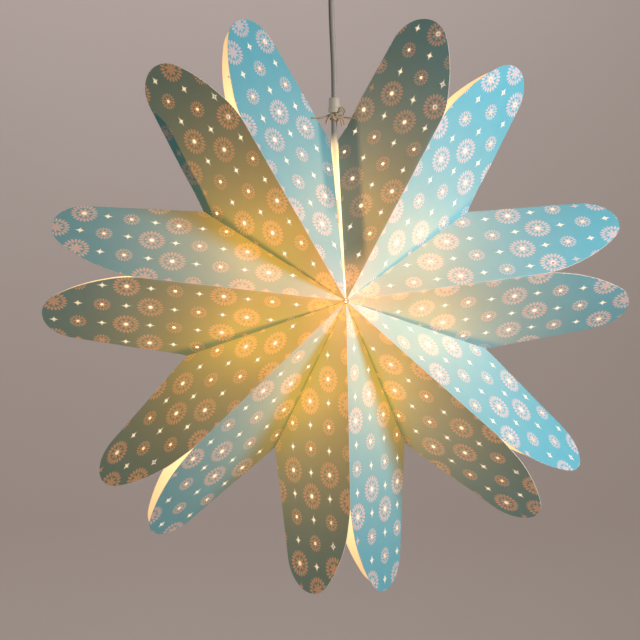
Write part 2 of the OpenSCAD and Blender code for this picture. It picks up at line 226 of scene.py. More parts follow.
# Colours of the ink, and of the light through paper, ink and holes, near the bulb and far from it
MOTIF = (0.60, 0.60, 0.71, 1)
CENTRE_GLOW = (1.0, 0.40, 0.04, 1)
GROUND_GLOW = (1.0, 0.45, 0.0, 1)
FAR_GLOW = (0.80, 0.37, 0.0, 1)
MOTIF_GLOW = (1.45, 0.57, 0.06, 1)
FAR_MOTIF_GLOW = (2.8, 0.92, 0.04, 1)
HOLE_GLOW = (1.0, 0.86, 0.58, 1)
# Strength of that light: its fall with the squared distance, its most, and what is added near the front
GLOW_FALL = 9300.0
GLOW_MOST = 0.64
CENTRE_EXTRA = 0.2
HOLE_STRENGTH = 0.62
# Distances from the bulb between which near colours give way to far ones: middle and half width
NEAR_R, NEAR_SOFT = 225.0, 60.0

# The print, in millimetres on the flat paper: blossoms in rings of leaves, with sparks between them.
# Every second blossom is smaller.
BLOSSOM_R = 7.4
LOBE_PAIRS = 4.0
SMALLER = 0.36
LEAF_RING_R = 10.8
LEAVES = 20.0
LEAF_HALF_W, LEAF_HALF_LEN = 1.25, 2.8
SPARK_REACH = 2.2
HALO_R = 2.7


def printed_paper():
    """Blue printed paper that the bulb lights from within, through the paper and its punched holes."""
    n = Nodes("printed_paper", rough=0.62)
    uv = n.node("ShaderNodeSeparateXYZ")
    n.tree.links.new(n.tree.nodes.new("ShaderNodeUVMap").outputs[0], uv.inputs[0])
    u, v = n.mul(uv.outputs[0], 1000.0), n.mul(uv.outputs[1], 1000.0)
    row = n.math("FLOOR", n.math("DIVIDE", v, ROW))
    y = n.sub(v, n.mul(n.add(row, 0.5), ROW))
    shifted = n.add(u, n.mul(n.math("FLOORED_MODULO", row, 2.0), COLUMN / 2))
    column = n.math("FLOOR", n.math("DIVIDE", shifted, COLUMN))
    x = n.sub(shifted, n.mul(n.add(column, 0.5), COLUMN))
    small = n.math("FLOORED_MODULO", column, 2.0)
    size = n.sub(1.0, n.mul(small, SMALLER))
    r = n.math("DIVIDE", n.math("SQRT", n.add(n.mul(x, x), n.mul(y, y))), size)
    turn = n.math("ARCTAN2", y, x)
    lobe = n.math("ABSOLUTE", n.math("COSINE", n.mul(turn, n.sub(LOBE_PAIRS, small))))
    blossom = n.below(r, n.mul(BLOSSOM_R, n.math("POWER", lobe, 0.4)), 0.5)
    step = n.math("DIVIDE", math.tau, n.sub(LEAVES, n.mul(small, 4.0)))
    slot = n.sub(n.math("FLOORED_MODULO", n.math("DIVIDE", turn, step), 1.0), 0.5)
    along, across = n.mul(slot, step, r), n.sub(r, LEAF_RING_R)
    leaf = n.math("SQRT", n.add(n.math("POWER", n.math("DIVIDE", along, LEAF_HALF_W), 2.0),
        n.math("POWER", n.math("DIVIDE", across, LEAF_HALF_LEN), 2.0)))
    sx, sy = n.mul(n.sub(COLUMN / 2, n.math("ABSOLUTE", x)), 0.7), n.math("ABSOLUTE", y)
    reach = n.add(n.math("SQRT", n.math("MAXIMUM", sx, 0.0)), n.math("SQRT", sy))
    spark = n.below(reach, SPARK_REACH, 0.16)
    inked = n.math("MAXIMUM", n.math("MAXIMUM", blossom, n.below(leaf, 1.0, 0.25)), spark)
    pierced = n.sub(1.0, n.below(n.attribute("pierced"), 0.12, 0.1))
    halo = n.mul(pierced, n.math("MAXIMUM", spark, n.below(r, HALO_R, 0.5)))
    wash = n.node("ShaderNodeCombineXYZ", X=n.mul(u, 0.06), Y=n.mul(v, 0.06))
    cloud = n.noise(1.0, 3.0, wash.outputs[0])
    inked = n.mul(inked, n.add(0.62, n.mul(cloud, 0.5)))

    valley, run = n.attribute("valley"), n.attribute("run")
    # Band beside the seam's valley: the glued flap hides the glow there, and painted shade darkens the
    # paper's colour
    flap_and_shade = n.below(valley, n.attribute("valley_flap"), 4.5)
    flap_and_shade = n.mul(flap_and_shade, n.below(n.attribute("flap_start"), run, 20.0))
    # The paper is lighter in a narrow line along the ridge
    ridge_lighter = n.below(n.attribute("fold"), 0.7, 0.3)
    colour = n.mix(inked, n.mix(cloud, (0.065, 0.47, 0.64, 1), (0.095, 0.53, 0.68, 1)), MOTIF)
    colour = n.mix(n.mul(ridge_lighter, 0.35), colour, (0.7, 0.75, 0.78, 1))
    # Painted shade over that band: the paper's colour is darkened towards a deep teal
    n.set(n.surface, "Base Color", n.mix(n.mul(flap_and_shade, 0.4), colour, (0.02, 0.20, 0.27, 1)))

    d = n.from_bulb()
    most = n.add(GLOW_MOST, n.mul(CENTRE_EXTRA, n.below(run, 40.0, 22.0)))
    glow = n.math("MINIMUM", n.sub(n.math("DIVIDE", GLOW_FALL, n.mul(d, d)), 0.004), most)
    shade = n.below(valley, n.mul(run, n.attribute("shadow")), n.mul(run, 0.03))
    side = n.below(n.attribute("side"), n.attribute("side_flap"), 0.8)
    hidden = n.math("MAXIMUM", n.mul(shade, 0.6), n.math("MAXIMUM", n.mul(flap_and_shade, 0.6), n.mul(side, 0.82)))
    near = n.below(d, NEAR_R, NEAR_SOFT)
    ground_glow = n.mix(n.below(run, 45.0, 25.0), n.mix(near, FAR_GLOW, GROUND_GLOW), CENTRE_GLOW)
    glow = n.mul(glow, n.attribute("glow_share"), n.sub(1.0, hidden))
    colour = n.mix(inked, ground_glow, n.mix(near, FAR_MOTIF_GLOW, MOTIF_GLOW))
    n.set(n.surface, "Emission Color", n.mix(halo, colour, HOLE_GLOW))
    strength = n.add(n.mul(glow, n.sub(1.0, halo)), n.mul(halo, HOLE_STRENGTH))
    n.set(n.surface, "Emission Strength", strength)
    n.set(n.surface, "Specular IOR Level", 0.25)
    n.bump(n.add(n.mul(n.noise(900.0), 0.3), n.noise(38.0)), 0.0011, 0.5)
    return n.material


def inner_paper():
    """Unprinted side of the paper, facing the bulb, with the bulb's light on it painted as a glow that fades
    with distance.
    """
    n = Nodes("inner_paper", rough=0.8)
    n.set(n.surface, "Base Color", (0.45, 0.42, 0.36, 1))
    d = n.from_bulb()
    n.set(n.surface, "Emission Color", (1.0, 0.66, 0.33, 1))
    n.set(n.surface, "Emission Strength", n.math("MINIMUM", n.math("DIVIDE", 50000.0, n.mul(d, d)), 1.7))
    return n.material


def cut_edge():
    """Cut edge of the paper, which shows its white core, with the bulb's light painted on it as a glow that
    fades with distance.
    """
    n = Nodes("cut_edge", rough=0.8)
    n.set(n.surface, "Base Color", (0.85, 0.84, 0.80, 1))
    d = n.from_bulb()
    n.set(n.surface, "Emission Color", (1.0, 0.86, 0.60, 1))
    n.set(n.surface, "Emission Strength", n.math("DIVIDE", 9000.0, n.mul(d, d)))
    return n.material


def mottled(n, noise, colour):
    """A colour that a noise darkens a little."""
    return n.mix(noise, tuple(0.86 * c for c in colour) + (1,), colour + (1,))


def plain(name, colour, rough, metallic=0.0, grain=0.0, scale=400.0, coat=0.0, glow=0.0):
    """A surface of one colour, with an optional grain, coat and glow."""
    n = Nodes(name, rough, metallic)
    n.set(n.surface, "Emission Color", colour + (1,))
    n.set(n.surface, "Emission Strength", glow)
    noise = n.noise(scale)
    n.set(n.surface, "Base Color", mottled(n, noise, colour))
    n.set(n.surface, "Coat Weight", coat)
    if grain:
        n.bump(noise, grain)
    return n.material


def lit_below(name, colour, glow, level, rough, strength=9000.0):
    """A plain surface that the bulb lights from below, up to a level in millimetres over the bulb."""
    n = Nodes(name, rough)
    n.set(n.surface, "Base Color", mottled(n, n.noise(300.0), colour))
    up = n.node("ShaderNodeSeparateXYZ")
    n.tree.links.new(n.place(), up.inputs[0])
    d = n.from_bulb()
    open_to = n.below(n.add(n.mul(up.outputs[2], 1000.0), STAR_DROP), level, 7.0)
    n.set(n.surface, "Emission Color", glow + (1,))
    n.set(n.surface, "Emission Strength", n.mul(n.math("DIVIDE", strength, n.mul(d, d)), open_to))
    return n.material


def opal_glass():
    n = Nodes("opal_glass", rough=0.3)
    n.set(n.surface, "Base Color", (0.95, 0.93, 0.88, 1))
    n.set(n.surface, "Emission Color", n.mix(n.noise(60.0), (1.0, 0.80, 0.52, 1), (1.0, 0.86, 0.62, 1)))
    n.set(n.surface, "Emission Strength", 3.0)
    n.set(n.surface, "Coat Weight", 0.4)
    return n.material


MATERIALS = {
    "opal_glass": opal_glass(),
    "nickel": plain("nickel", (0.70, 0.69, 0.66), 0.28, 1.0, 0.00005),
    "brass": plain("brass", (0.78, 0.58, 0.28), 0.32, 1.0, 0.00005),
    "white_plastic": plain("white_plastic", (0.80, 0.80, 0.78), 0.38, coat=0.2),
    "grey_plastic": plain("grey_plastic", (0.52, 0.51, 0.49), 0.5, grain=0.00008),
    # Painted light: the beige stopper glows evenly
    "beige_plastic": plain("beige_plastic", (0.46, 0.40, 0.32), 0.5, grain=0.0001, scale=150.0, glow=0.28),
    "cord_sheath": lit_below("cord_sheath", (0.43, 0.38, 0.35), (1.0, 0.74, 0.38), TIE_RISE - 24, 0.6,
        15000.0),
    "twine": lit_below("twine", (0.52, 0.41, 0.28), (1.0, 0.42, 0.18), TIE_RISE - 7, 0.85, 4500.0),
    "zinc_steel": plain("zinc_steel", (0.60, 0.61, 0.62), 0.36, 1.0, 0.0001),
}
NODE_SLOTS = {
    "bulb_globe": "opal_glass", "bulb_base": "nickel", "bulb_tip": "nickel", "holder_socket": "brass",
    "holder_contact": "brass", "holder_shell": "white_plastic", "holder_cap": "white_plastic",
    "holder_relief": "grey_plastic", "ceiling_cup": "white_plastic",
    "cup_relief": "grey_plastic", "relief_nut": "grey_plastic", "terminal_block": "white_plastic",
    "mounting_bar": "zinc_steel", "cup_screws": "zinc_steel",
}
for node_name, slot_name in NODE_SLOTS.items():
    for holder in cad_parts[node_name].material_slots:
        holder.material = MATERIALS[slot_name]


def mesh_piece(name, points, faces, materials, indices=None, node=None, sharp=30):
    """A mesh piece from points in metres, riding on the part's one body."""
    mesh = bpy.data.meshes.new(name)
    mesh.from_pydata([tuple(p) for p in points], [], faces)
    for material in materials:
        mesh.materials.append(material)
    if indices is not None:
        mesh.polygons.foreach_set("material_index", indices)
    mesh.polygons.foreach_set("use_smooth", [True] * len(faces))
    mesh.set_sharp_from_angle(angle=math.radians(sharp))
    piece = bpy.data.objects.new(name, mesh)
    bpy.context.scene.collection.objects.link(piece)
    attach(piece, "root")
    if node:
        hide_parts(node)
    return piece


def smooth_path(route, spacing):
    """Points at even spacing on a curve through the route."""
    route = [np.array(p, float) for p in route]
    ends = [2 * route[0] - route[1]] + route + [2 * route[-1] - route[-2]]
    fine = []
    for p0, p1, p2, p3 in zip(ends, ends[1:], ends[2:], ends[3:]):
        for t in np.linspace(0, 1, 16, endpoint=False):
            fine.append(0.5 * (2 * p1 + (p2 - p0) * t + (2 * p0 - 5 * p1 + 4 * p2 - p3) * t * t
                + (3 * p1 - p0 - 3 * p2 + p3) * t ** 3))
    fine = np.array(fine + [route[-1]])
    run = np.concatenate([[0], np.cumsum(np.linalg.norm(np.diff(fine, axis=0), axis=1))])
    wanted = np.linspace(0, run[-1], max(2, int(run[-1] / spacing) + 1))
    return np.stack([np.interp(wanted, run, fine[:, k]) for k in range(3)], axis=1)


def string(route, thick=1.0, spacing=0.0007):
    """A twisted string along a route, with its strands as lobes of its section."""
    path, radius = smooth_path(route, spacing), STRING_D / 2 * MM * thick
    points, faces, across = [], [], None
    for k, p in enumerate(path):
        ahead = path[min(k + 1, len(path) - 1)] - path[max(k - 1, 0)]
        ahead /= np.linalg.norm(ahead)
        if across is None:
            across = np.cross(ahead, (0, 1, 0) if abs(ahead[1]) < 0.8 else (1, 0, 0))
        across = across - ahead * across.dot(ahead)
        across /= np.linalg.norm(across)
        other = np.cross(ahead, across)
        twist = math.tau * k * np.linalg.norm(path[1] - path[0]) / STRAND_PITCH
        for s in range(STRING_SIDES):
            t = math.tau * s / STRING_SIDES
            r = radius * (1 - 0.2 * (1 - math.cos(STRANDS * (t - twist))) * 0.5)
            points.append(p + r * (math.cos(t) * across + math.sin(t) * other))
    last = (len(path) - 1) * STRING_SIDES
    for ring in range(0, last, STRING_SIDES):
        for s in range(STRING_SIDES):
            q = (s + 1) % STRING_SIDES
            faces.append((ring + s, ring + q, ring + STRING_SIDES + q, ring + STRING_SIDES + s))
    faces.append(tuple(reversed(range(STRING_SIDES))))
    faces.append(tuple(range(last, last + STRING_SIDES)))
    return points, faces


def join(parts):
    """One list of points and faces from several."""
    points, faces = [], []
    for more_points, more_faces in parts:
        start = len(points)
        points += list(more_points)
        faces += [tuple(start + k for k in face) for face in more_faces]
    return points, faces


# Cord
cord_curve = bpy.data.curves.new("cord", "CURVE")
cord_curve.dimensions = "3D"
spline = cord_curve.splines.new("POLY")
cord_path = smooth_path(CORD_ROUTE, 0.004)
spline.points.add(len(cord_path) - 1)
for point, place in zip(spline.points, cord_path):
    point.co = (*place, 1)
cord_curve.bevel_depth = CORD_D / 2 * MM
cord_curve.bevel_resolution = 6
cord_curve.use_fill_caps = True
cord_curve.materials.append(MATERIALS["cord_sheath"])
cord = bpy.data.objects.new("cord", cord_curve)
bpy.context.scene.collection.objects.link(cord)
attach(cord, "root")
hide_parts("lamp_cord")


# Stopper on the cord
def turned(profile, place, sides=48):
    """Closed ring swept from a profile of (radius, height) pairs in millimetres."""
    points = [np.array(place) + MM * np.array([r * math.cos(t), r * math.sin(t), z])
        for t in np.arange(sides) * math.tau / sides for r, z in profile]
    n = len(profile)
    faces = [(s * n + k, (s + 1) % sides * n + k, (s + 1) % sides * n + (k + 1) % n, s * n + (k + 1) % n)
        for s in range(sides) for k in range(n)]
    return points, faces


# Radius and height of a moulded sleeve, a little wider at its foot
sleeve = [(3.05, 0.3), (3.4, 0), (5.9, 0), (6.25, 0.35), (6.3, 3.9), (6.0, 4.4), (5.7, 8), (5.55, 14.1),
    (5.3, 14.9), (4.8, 15.4), (3.4, 15.5), (3.05, 15.2)]
points, faces = turned(sleeve, (CORD_X * MM, 0, (TIE_RISE + STRING_D - STAR_DROP) * MM))
mesh_piece("stopper", points, faces, (MATERIALS["beige_plastic"],), None, "cord_stopper", 50)


# Folded points
seam_angle = 2 * math.asin(SEAM_GAP / 2 / VALLEY_R)
share = (math.tau - seam_angle) / POINTS
openings = [share + math.radians(extra) for extra in OPENING_EXTRA]
seam_side = math.radians(90) + STAR_TURN - seam_angle / 2
turns = [seam_side - sum(openings[:i]) - openings[i] / 2 for i in range(POINTS)]
valley_len = math.hypot(VALLEY_R, HALF_DEPTH)
valley_u = VALLEY_R * math.cos(share / 2) * math.cos(RIDGE_DIP) + HALF_DEPTH * math.sin(RIDGE_DIP)
valley_v = math.sqrt(valley_len ** 2 - valley_u ** 2)


class Panel:
    """Flat pattern of a panel and its plane once the point is folded to half its opening."""

    def __init__(self, half, lean):
        self.half = half
        reach = VALLEY_R * math.cos(half)
        self.dip = math.atan2(HALF_DEPTH, reach) - math.acos(valley_u / math.hypot(reach, HALF_DEPTH))
        self.u_dir = np.array([math.cos(self.dip), 0, -math.sin(self.dip)])
        end = np.array([reach, VALLEY_R * math.sin(half), -HALF_DEPTH])
        self.v_dir = (end - valley_u * self.u_dir) / valley_v
        self.out = np.cross(self.u_dir, self.v_dir)
        self.slope = math.sin(self.dip) / self.v_dir[2]
        self.along = np.array([1, self.slope]) / math.hypot(1, self.slope)
        self.across = np.array([-self.along[1], self.along[0]])
        self.valley_end = self.folded(valley_u, valley_v)
        crease = self.folded(RIDGE_LEN, 0) - self.valley_end
        fold_way = self.u_dir + self.slope * self.v_dir
        turn = math.atan(lean / (TIP_U + TIP_R - valley_u)) + math.atan2(fold_way[1], fold_way[0])
        self.side_dir = np.array([math.cos(turn), math.sin(turn), 0])
        self.cross_dir = (crease @ self.side_dir) * self.side_dir - crease
        self.cross_dir /= np.linalg.norm(self.cross_dir)
        self.petal_out = np.cross(self.side_dir, self.cross_dir)
        flat = self.to_petal(RIDGE_LEN, 0)
        self.skew = (crease @ self.side_dir - flat[0]) / flat[1]
        self.widen = crease @ self.cross_dir / flat[1]
        self.tip = self.to_petal(TIP_U, self.side_v(TIP_U) - TIP_R * math.hypot(1, self.slope))
        d = self.tip - flat
        length = np.linalg.norm(d)
        run = (EDGE_R ** 2 - (EDGE_R - TIP_R) ** 2 + length ** 2) / (2 * length)
        rise = math.sqrt(EDGE_R ** 2 - run ** 2)
        self.edge = flat + (run * d + rise * np.array([-d[1], d[0]])) / length

    def side_v(self, u):
        return (HALF_DEPTH - u * math.sin(self.dip)) / -self.v_dir[2]

    def to_petal(self, u, v):
        """Place along the side fold from the valley end, and across it."""
        d = np.array([u - valley_u, v - valley_v])
        return np.array([d @ self.along, d @ self.across])

    def from_petal(self, p):
        return np.array([valley_u, valley_v]) + p[0] * self.along + p[1] * self.across

    def past_crease(self, u, v):
        """Distance beyond the line from the valley end to the ridge end."""
        c = np.array([valley_u - RIDGE_LEN, valley_v])
        return ((u - RIDGE_LEN) * c[1] - v * c[0]) / np.linalg.norm(c)

    def bent(self, u, v):
        """How far the paper has turned from the gore's plane into the petal's, from 0 to 1."""
        t = min(max(self.past_crease(u, v) / SOFT_CREASE, 0), 1)
        return t * t * (3 - 2 * t)

    def folded(self, u, v):
        return np.array([0, 0, HALF_DEPTH]) + u * self.u_dir + v * self.v_dir

    def on_petal(self, x, y):
        return self.valley_end + (x + self.skew * y) * self.side_dir + self.widen * y * self.cross_dir

    def place(self, u, v):
        """Place of a pattern point in space, and the way its face looks."""
        t = self.bent(u, v)
        out = (1 - t) * self.out + t * self.petal_out
        spot = (1 - t) * self.folded(u, v) + t * self.on_petal(*self.to_petal(u, v))
        return spot, out / np.linalg.norm(out)

    def outline(self):
        """Closed outline, with a name for each of its edges."""
        def arc(c, r, a, b):
            steps = max(3, int(abs(b - a) * r / 4))
            return [c + r * np.array([math.cos(t), math.sin(t)]) for t in np.linspace(a, b, steps + 1)]

        def bearing(p):
            return math.atan2(p[1], p[0])

        def line(p, q, steps):
            return [p + (q - p) * k / steps for k in range(steps)]

        ridge_end = np.array([RIDGE_LEN, 0.0])
        tip, edge = self.from_petal(self.tip), self.from_petal(self.edge)
        turn = bearing(tip - edge)
        tip_end = bearing(np.array([-self.slope, 1]))
        valley = np.array([valley_u, valley_v])
        first = np.array([APEX_HOLE_R * 1.1, 0])
        last = valley / valley_len * APEX_HOLE_R * 1.3
        open_edge = arc(edge, EDGE_R, bearing(ridge_end - edge), turn)
        tip_arc = arc(tip, TIP_R, turn, tip_end)
        parts = [("ridge", line(first, ridge_end, 26)), ("edge", open_edge[:-1]), ("edge", tip_arc[:-1]),
            ("side", line(tip_arc[-1], valley, 14)), ("valley", line(valley, last, 24)), ("edge", [last])]
        points, names = [], []
        for name, run_points in parts:
            points += run_points
            names += [name] * len(run_points)
        return np.array(points), names


def inside(polygon, p, margin):
    """Whether p is inside the polygon, by at least margin from its edges."""
    x, y = p
    a, b = polygon, np.roll(polygon, -1, axis=0)
    crosses = (a[:, 1] > y) != (b[:, 1] > y)
    with np.errstate(divide="ignore", invalid="ignore"):
        at = a[:, 0] + (y - a[:, 1]) * (b[:, 0] - a[:, 0]) / (b[:, 1] - a[:, 1])
    if np.count_nonzero(crosses & (x < at)) % 2 == 0:
        return False
    span = b - a
    t = np.clip(((p - a) * span).sum(axis=1) / np.maximum((span ** 2).sum(axis=1), 1e-12), 0, 1)
    return np.linalg.norm(a + t[:, None] * span - p, axis=1).min() >= margin


def pinholes(panel, shift, closed):
    """Places and radii of the punched holes on the flat pattern: blossoms' centres and sparks."""
    margin = SIDE_FLAP_W + 2 * HOLE_R if closed else HOLE_MARGIN
    holes = []
    for row in range(7):
        for k in range(18):
            u = (k - row % 2) * COLUMN / 2 - shift[0]
            v = (row + 0.5) * ROW - shift[1]
            q = panel.to_petal(u, v)
            from_valley = (u * valley_v - v * valley_u) / valley_len
            in_edge = u < RIDGE_LEN or np.linalg.norm(q - panel.edge) < EDGE_R - HOLE_MARGIN
            in_tip = q[0] < panel.tip[0] or np.linalg.norm(q - panel.tip) < TIP_R - HOLE_MARGIN
            if min(v, from_valley) > HOLE_MARGIN and q[1] < -margin and in_edge and in_tip:
                holes.append((u, v, HOLE_R if k % 2 else SMALL_HOLE_R))
    return holes


def panel_mesh(panel, side, front, shift, closed):
    """Points, faces, material of each face and the values of each point for one panel."""
    outline, names = panel.outline()
    holes = pinholes(panel, shift, closed)
    flat = [tuple(p) for p in outline]
    edges = [(k, (k + 1) % len(flat)) for k in range(len(flat))]
    edge_names = dict(zip(edges, names))
    for u, v, r in holes:
        start = len(flat)
        flat += [(u + r * math.cos(t), v + r * math.sin(t))
            for t in np.arange(HOLE_SIDES) * math.tau / HOLE_SIDES]
        edges += [(start + k, start + (k + 1) % HOLE_SIDES) for k in range(HOLE_SIDES)]
    flat += [(u, 0.9) for u in np.arange(6, RIDGE_LEN - 2, 6)]
    for u in np.arange(4, TIP_U + TIP_R, MESH_STEP):
        for v in np.arange(5, 130, MESH_STEP):
            if all(math.hypot(u - hu, v - hv) > r + 2 for hu, hv, r in holes) \
                    and inside(outline, np.array([u, v]), 2.5):
                flat.append((u, v))
    made = delaunay_2d_cdt([Vector(p) for p in flat], edges, [], 1, 1e-6, True)
    verts = np.array([tuple(p) for p in made[0]])
    triangles = []
    for face in made[2]:
        middle = verts[list(face)].mean(axis=0)
        if any(math.hypot(middle[0] - u, middle[1] - v) < 0.93 * r for u, v, r in holes):
            continue
        a, b, c = (verts[k] for k in face)
        turn = (b[0] - a[0]) * (c[1] - a[1]) - (b[1] - a[1]) * (c[0] - a[0])
        triangles.append(tuple(face) if turn > 0 else tuple(reversed(face)))
    kept_names = {}
    for k, origins in enumerate(made[4]):
        for origin in origins:
            if origin < len(names):
                p, q = made[1][k]
                kept_names[(p, q)] = kept_names[(q, p)] = names[origin]

    outer, inner = [], []
    for u, v in verts:
        width = max(panel.side_v(u), 1)
        bow = PANEL_BOW * math.sin(math.pi * min(max(v / width, 0), 1)) * min(max((u - 60) / 150, 0), 1)
        p, out = panel.place(u, v)
        p = p + bow * out
        q = p - PAPER_T * out
        if v < 1e-4 and u < RIDGE_LEN + 1:
            p = p - np.array([0, 0, RIDGE_WEAR])
            q = q - np.array([0, 0, INNER_WEAR])
        q[1], q[2] = max(q[1], 0), max(q[2], 0)
        p[1], p[2] = max(p[1], 0), max(p[2], 0)
        outer.append(p)
        inner.append(q)
    count = len(verts)
    faces = list(triangles) + [tuple(count + k for k in reversed(face)) for face in triangles]
    indices = [0] * len(triangles) + [1] * len(triangles)
    directed = {(face[k], face[(k + 1) % len(face)]) for face in triangles for k in range(len(face))}
    for p, q in directed:
        if (q, p) not in directed:
            name = kept_names.get((p, q), "hole")
            if name in ("edge", "hole", "valley"):
                faces.append((p, count + p, count + q, q))
                indices.append(0 if name == "valley" else 2)
    mirror = np.array([1, side, front])
    points = [p * mirror for p in outer + inner]
    if side * front < 0:
        faces = [tuple(reversed(face)) for face in faces]
    valley = np.array([valley_u, valley_v]) / valley_len
    rows = [(u, v, u * valley[1] - v * valley[0], u * valley[0] + v * valley[1],
        (panel.side_v(u) - v) / math.hypot(1, panel.slope),
        float(any(math.hypot(u - hu, v - hv) < r + 0.1 for hu, hv, r in holes))) for u, v in verts]
    return points, faces, indices, rows + rows


def plate(corners, inward):
    """A flat flap of paper from its corners and the way its thickness goes."""
    back_side = [p + inward for p in corners]
    n = len(corners)
    faces = [tuple(range(n)), tuple(reversed(range(n, 2 * n)))]
    faces += [(k, n + k, n + (k + 1) % n, (k + 1) % n) for k in range(n)]
    return list(corners) + back_side, faces


def valley_flap(panel, width):
    """Glue flap in the valley plane."""
    end = valley_len - 2
    fold = math.atan2(HALF_DEPTH, VALLEY_R)
    tuck = end - (width * VALLEY_R / valley_len) / (HALF_DEPTH / valley_len)
    across = np.array([-math.sin(panel.half), math.cos(panel.half), 0])
    along = np.array([math.cos(panel.half), math.sin(panel.half), 0])
    corners = []
    for s, t in ((FLAP_START, -0.3), (end, -0.3), (tuck, -width), (2 * FLAP_START, -width)):
        x = s * math.cos(fold) + t * math.sin(fold)
        z = HALF_DEPTH - s * math.sin(fold) + t * math.cos(fold)
        corners.append(x * along + np.array([0, 0, z]) - GLUE_LINE * across)
    return plate(corners, -PAPER_T * across)


def side_flap(panel):
    """Glue flap inside a panel, along the side fold."""
    end = panel.tip[0]
    outline = ((SIDE_FLAP_W, -FLAP_INSET), (end, -FLAP_INSET), (end - 2 * SIDE_FLAP_W, -SIDE_FLAP_W),
        (SIDE_FLAP_W, -SIDE_FLAP_W))
    corners = [panel.on_petal(x, y) - (PAPER_T + 0.05) * panel.petal_out for x, y in outline]
    return plate(corners, -PAPER_T * panel.petal_out)


def to_world(index, points):
    """Points in metres in the shared frame, from a paper point's own frame in millimetres."""
    c, s = math.cos(turns[index]), math.sin(turns[index])
    return [MM * np.array([STAR_X + p[0] * c - p[1] * s, -p[2], -STAR_DROP + p[0] * s + p[1] * c])
        for p in points]


PRINTED, INNER, CUT = printed_paper(), inner_paper(), cut_edge()
# Values kept at each point of the mesh, which printed_paper reads; valley_flap and flap_start give the band
# at the seam where the flap hides the glow and shade is painted
POINT_VALUES = ("fold", "valley", "run", "side", "shadow", "valley_flap", "flap_start", "side_flap",
    "glow_share", "pierced")

for index in range(POINTS):
    points, faces, indices, values, prints = [], [], [], [], []
    flap_front = 1 if index == POINTS - 1 else -1
    for side in (1, -1):
        panel = Panel(openings[index] / 2, PETAL_LEAN[index][0 if side == 1 else 1])
        at = turns[index] + side * openings[index] / 2
        upper = math.sin(turns[index]) > math.sin(2 * at - turns[index])
        seam = (index, side) in ((0, 1), (POINTS - 1, -1))
        shadow = 0.06 * abs(math.cos(at)) if upper and not seam else -1
        # Width and start of the seam's band of flap and painted shade
        flap_and_shade, flap_start = SEAM_SHADE[index] if seam else (NO_FLAP, 0)
        glow_share = GLOW_SHARE[index][0 if side == 1 else 1]
        for front in (1, -1):
            shift = PRINT_SHIFT[side, front]
            closed = side == 1 and front == flap_front
            more, more_faces, more_indices, rows = panel_mesh(panel, side, front, shift, closed)
            start = len(points)
            points += more
            faces += [tuple(start + k for k in face) for face in more_faces]
            indices += more_indices
            for u, v, valley, run, edge, pierced in rows:
                past_flap = panel.to_petal(u, v)[0] - panel.tip[0] + 2 * SIDE_FLAP_W
                closing = SIDE_FLAP_W - max(0, 0.5 * past_flap) if closed else NO_FLAP
                values.append((v, valley, run, edge, shadow, flap_and_shade, flap_start, closing, glow_share, pierced))
                prints.append(((u + shift[0]) * MM, (v + shift[1]) * MM))
            flaps = [valley_flap(panel, SEAM_FLAP_W if index == 0 and side == 1 else FLAP_W)]
            if closed:
                flaps.append(side_flap(panel))
            for more, more_faces in flaps:
                start = len(points)
                mirror = np.array([1, side, front])
                points += [p * mirror for p in more]
                order = reversed if side * front > 0 else tuple
                faces += [tuple(order([start + k for k in face])) for face in more_faces]
                indices += [1] * len(more_faces)
                values += [FLAP_VALUES] * len(more)
                prints += [(0, 0)] * len(more)
    piece = mesh_piece(f"paper_{index + 1}", to_world(index, points), faces, (PRINTED, INNER, CUT), indices,
        f"paper_point_{index + 1}", 24)
    layer = piece.data.uv_layers.new(name="print")
    corner_points = np.zeros(len(piece.data.loops), dtype=int)
    piece.data.loops.foreach_get("vertex_index", corner_points)
    layer.data.foreach_set("uv", np.array(prints)[corner_points].ravel())
    for k, name in enumerate(POINT_VALUES):
        values_of = piece.data.attributes.new(name, "FLOAT", "POINT")
        values_of.data.foreach_set("value", np.array([row[k] for row in values], dtype=np.float32))


# Strings
def tie_spot(index):
    """Place of the tie hole beside the seam, in the paper point's own frame."""
    panel = Panel(openings[index] / 2, PETAL_LEAN[index][0 if index == 0 else 1])
    return panel.place(*panel.from_petal((TIE_RUN, -TIE_INSET)))[0]


def tie_ends(index, side):
    """Where the string comes through a point's front and back petal, in metres."""
    spot = tie_spot(index) * np.array([1, side, 1])
    front = np.array(to_world(index, [spot + np.array([0, 0, STRING_D])])[0])
    return front, front * np.array([1, -1, 1])


knot = np.array([CORD_X * MM, 0, (TIE_RISE - STAR_DROP) * MM])
reach = (CORD_D + STRING_D) / 2 * MM + 0.0001
strings = []
for index, side in ((0, 1), (POINTS - 1, -1)):
    front, behind = tie_ends(index, side)
    way = STRING_D * MM * (-1 if side > 0 else 1)
    route = [knot + (0, -reach, 0), knot + (-2 * way, -reach, 0), (knot + front) / 2 + (0, -0.001, -0.001),
        front + (way, 0, 0), front + (0, STRING_D / 2 * MM, 0), behind + (0, -STRING_D / 2 * MM, 0),
        behind + (way, 0, 0), (knot + behind) / 2 + (0, 0.001, -0.001), knot + (-2 * way, reach, 0),
        knot + (0, reach, 0)]
    strings.append(string(route))
coil = [knot + np.array([reach * math.cos(t), reach * math.sin(t), -STRING_D * 0.95 * MM * t / math.tau])
    for t in np.linspace(-1.6, math.tau * 4.1, 110)]
strings.append(string(coil))
